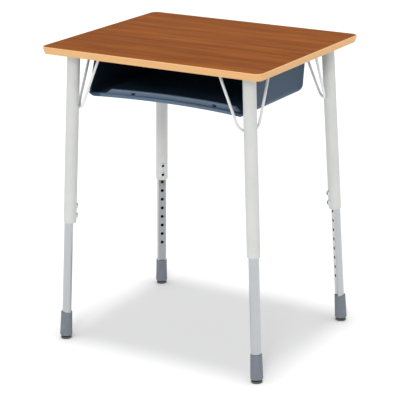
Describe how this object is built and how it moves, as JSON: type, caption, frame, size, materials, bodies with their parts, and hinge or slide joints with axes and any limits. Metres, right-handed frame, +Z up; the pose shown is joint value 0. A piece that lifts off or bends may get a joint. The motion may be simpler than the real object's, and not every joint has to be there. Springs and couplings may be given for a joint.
{
  "type": "height-adjustable desk",
  "caption": "Open-front student desk with an oak-look laminate top, a moulded book box, rod-braced splayed legs and telescopic lower legs on swivel glides.",
  "frame": {"origin": "on the floor under the middle of the desk top", "axes": "+Z up, +X across the desk to the seated user's right, +Y away from the user; the book box opens to -Y"},
  "size_m": [0.61, 0.508, 0.762],
  "materials": {
    "oak_laminate": "printed oak laminate, satin",
    "particleboard": "raw particleboard",
    "backer_paper": "matt brown backer sheet",
    "edge_pvc": "maple coloured moulding, satin",
    "navy_plastic": "moulded, fine grain",
    "silver_powder": "silver powder coat",
    "chrome_plate": "bright chrome plate",
    "grey_boot": "moulded grey boot",
    "dark_glide": "dark moulded glide",
    "zinc_steel": "zinc plated"
  },
  "bodies": {
    "desk": {"desktop_core": "particleboard", "laminate_sheet": "oak_laminate", "backer_sheet": "backer_paper", "edge_band": "edge_pvc", "book_box": "navy_plastic", "book_box_screws": "zinc_steel", "leg_plate_screws": "zinc_steel", "brace_tab_screws": "zinc_steel", "upper_tube_front_left": "silver_powder", "upper_tube_front_right": "silver_powder", "upper_tube_rear_left": "silver_powder", "upper_tube_rear_right": "silver_powder", "leg_top_plate_front_left": "silver_powder", "leg_top_plate_front_right": "silver_powder", "leg_top_plate_rear_left": "silver_powder", "leg_top_plate_rear_right": "silver_powder", "nut_bar_front_left": "zinc_steel", "nut_bar_front_right": "zinc_steel", "nut_bar_rear_left": "zinc_steel", "nut_bar_rear_right": "zinc_steel", "adjusting_screws_front_left": "zinc_steel", "adjusting_screws_front_right": "zinc_steel", "adjusting_screws_rear_left": "zinc_steel", "adjusting_screws_rear_right": "zinc_steel", "brace_rod_front_left": "silver_powder", "brace_rod_front_right": "silver_powder", "brace_rod_rear_left": "silver_powder", "brace_rod_rear_right": "silver_powder"},
    "lower_leg_front_left": {"leg_insert_front_left": "chrome_plate", "foot_boot_front_left": "grey_boot"},
    "glide_front_left": {"swivel_glide_front_left": "dark_glide"},
    "lower_leg_front_right": {"leg_insert_front_right": "chrome_plate", "foot_boot_front_right": "grey_boot"},
    "glide_front_right": {"swivel_glide_front_right": "dark_glide"},
    "lower_leg_rear_left": {"leg_insert_rear_left": "chrome_plate", "foot_boot_rear_left": "grey_boot"},
    "glide_rear_left": {"swivel_glide_rear_left": "dark_glide"},
    "lower_leg_rear_right": {"leg_insert_rear_right": "chrome_plate", "foot_boot_rear_right": "grey_boot"},
    "glide_rear_right": {"swivel_glide_rear_right": "dark_glide"}
  },
  "joints": [
    {"name": "front_left_leg_slide", "type": "slide", "parent": "desk", "child": "lower_leg_front_left", "axis": [0.0453, 0.0353, 0.9983], "range_m": [0, 0.2032]},
    {"name": "front_left_glide_tilt", "type": "hinge", "parent": "lower_leg_front_left", "child": "glide_front_left", "pos_m": [-0.27998, -0.22587, 0.01317], "axis": [0.6141, -0.7892, 0], "range_deg": [-8, 8]},
    {"name": "front_right_leg_slide", "type": "slide", "parent": "desk", "child": "lower_leg_front_right", "axis": [-0.0453, 0.0353, 0.9983], "range_m": [0, 0.2032]},
    {"name": "front_right_glide_tilt", "type": "hinge", "parent": "lower_leg_front_right", "child": "glide_front_right", "pos_m": [0.27998, -0.22587, 0.01317], "axis": [-0.6141, -0.7892, 0], "range_deg": [-8, 8]},
    {"name": "rear_left_leg_slide", "type": "slide", "parent": "desk", "child": "lower_leg_rear_left", "axis": [0.0453, -0.0353, 0.9983], "range_m": [0, 0.2032]},
    {"name": "rear_left_glide_tilt", "type": "hinge", "parent": "lower_leg_rear_left", "child": "glide_rear_left", "pos_m": [-0.27998, 0.22587, 0.01317], "axis": [0.6141, 0.7892, 0], "range_deg": [-8, 8]},
    {"name": "rear_right_leg_slide", "type": "slide", "parent": "desk", "child": "lower_leg_rear_right", "axis": [-0.0453, -0.0353, 0.9983], "range_m": [0, 0.2032]},
    {"name": "rear_right_glide_tilt", "type": "hinge", "parent": "lower_leg_rear_right", "child": "glide_rear_right", "pos_m": [0.27998, 0.22587, 0.01317], "axis": [-0.6141, 0.7892, 0], "range_deg": [-8, 8]}
  ]
}
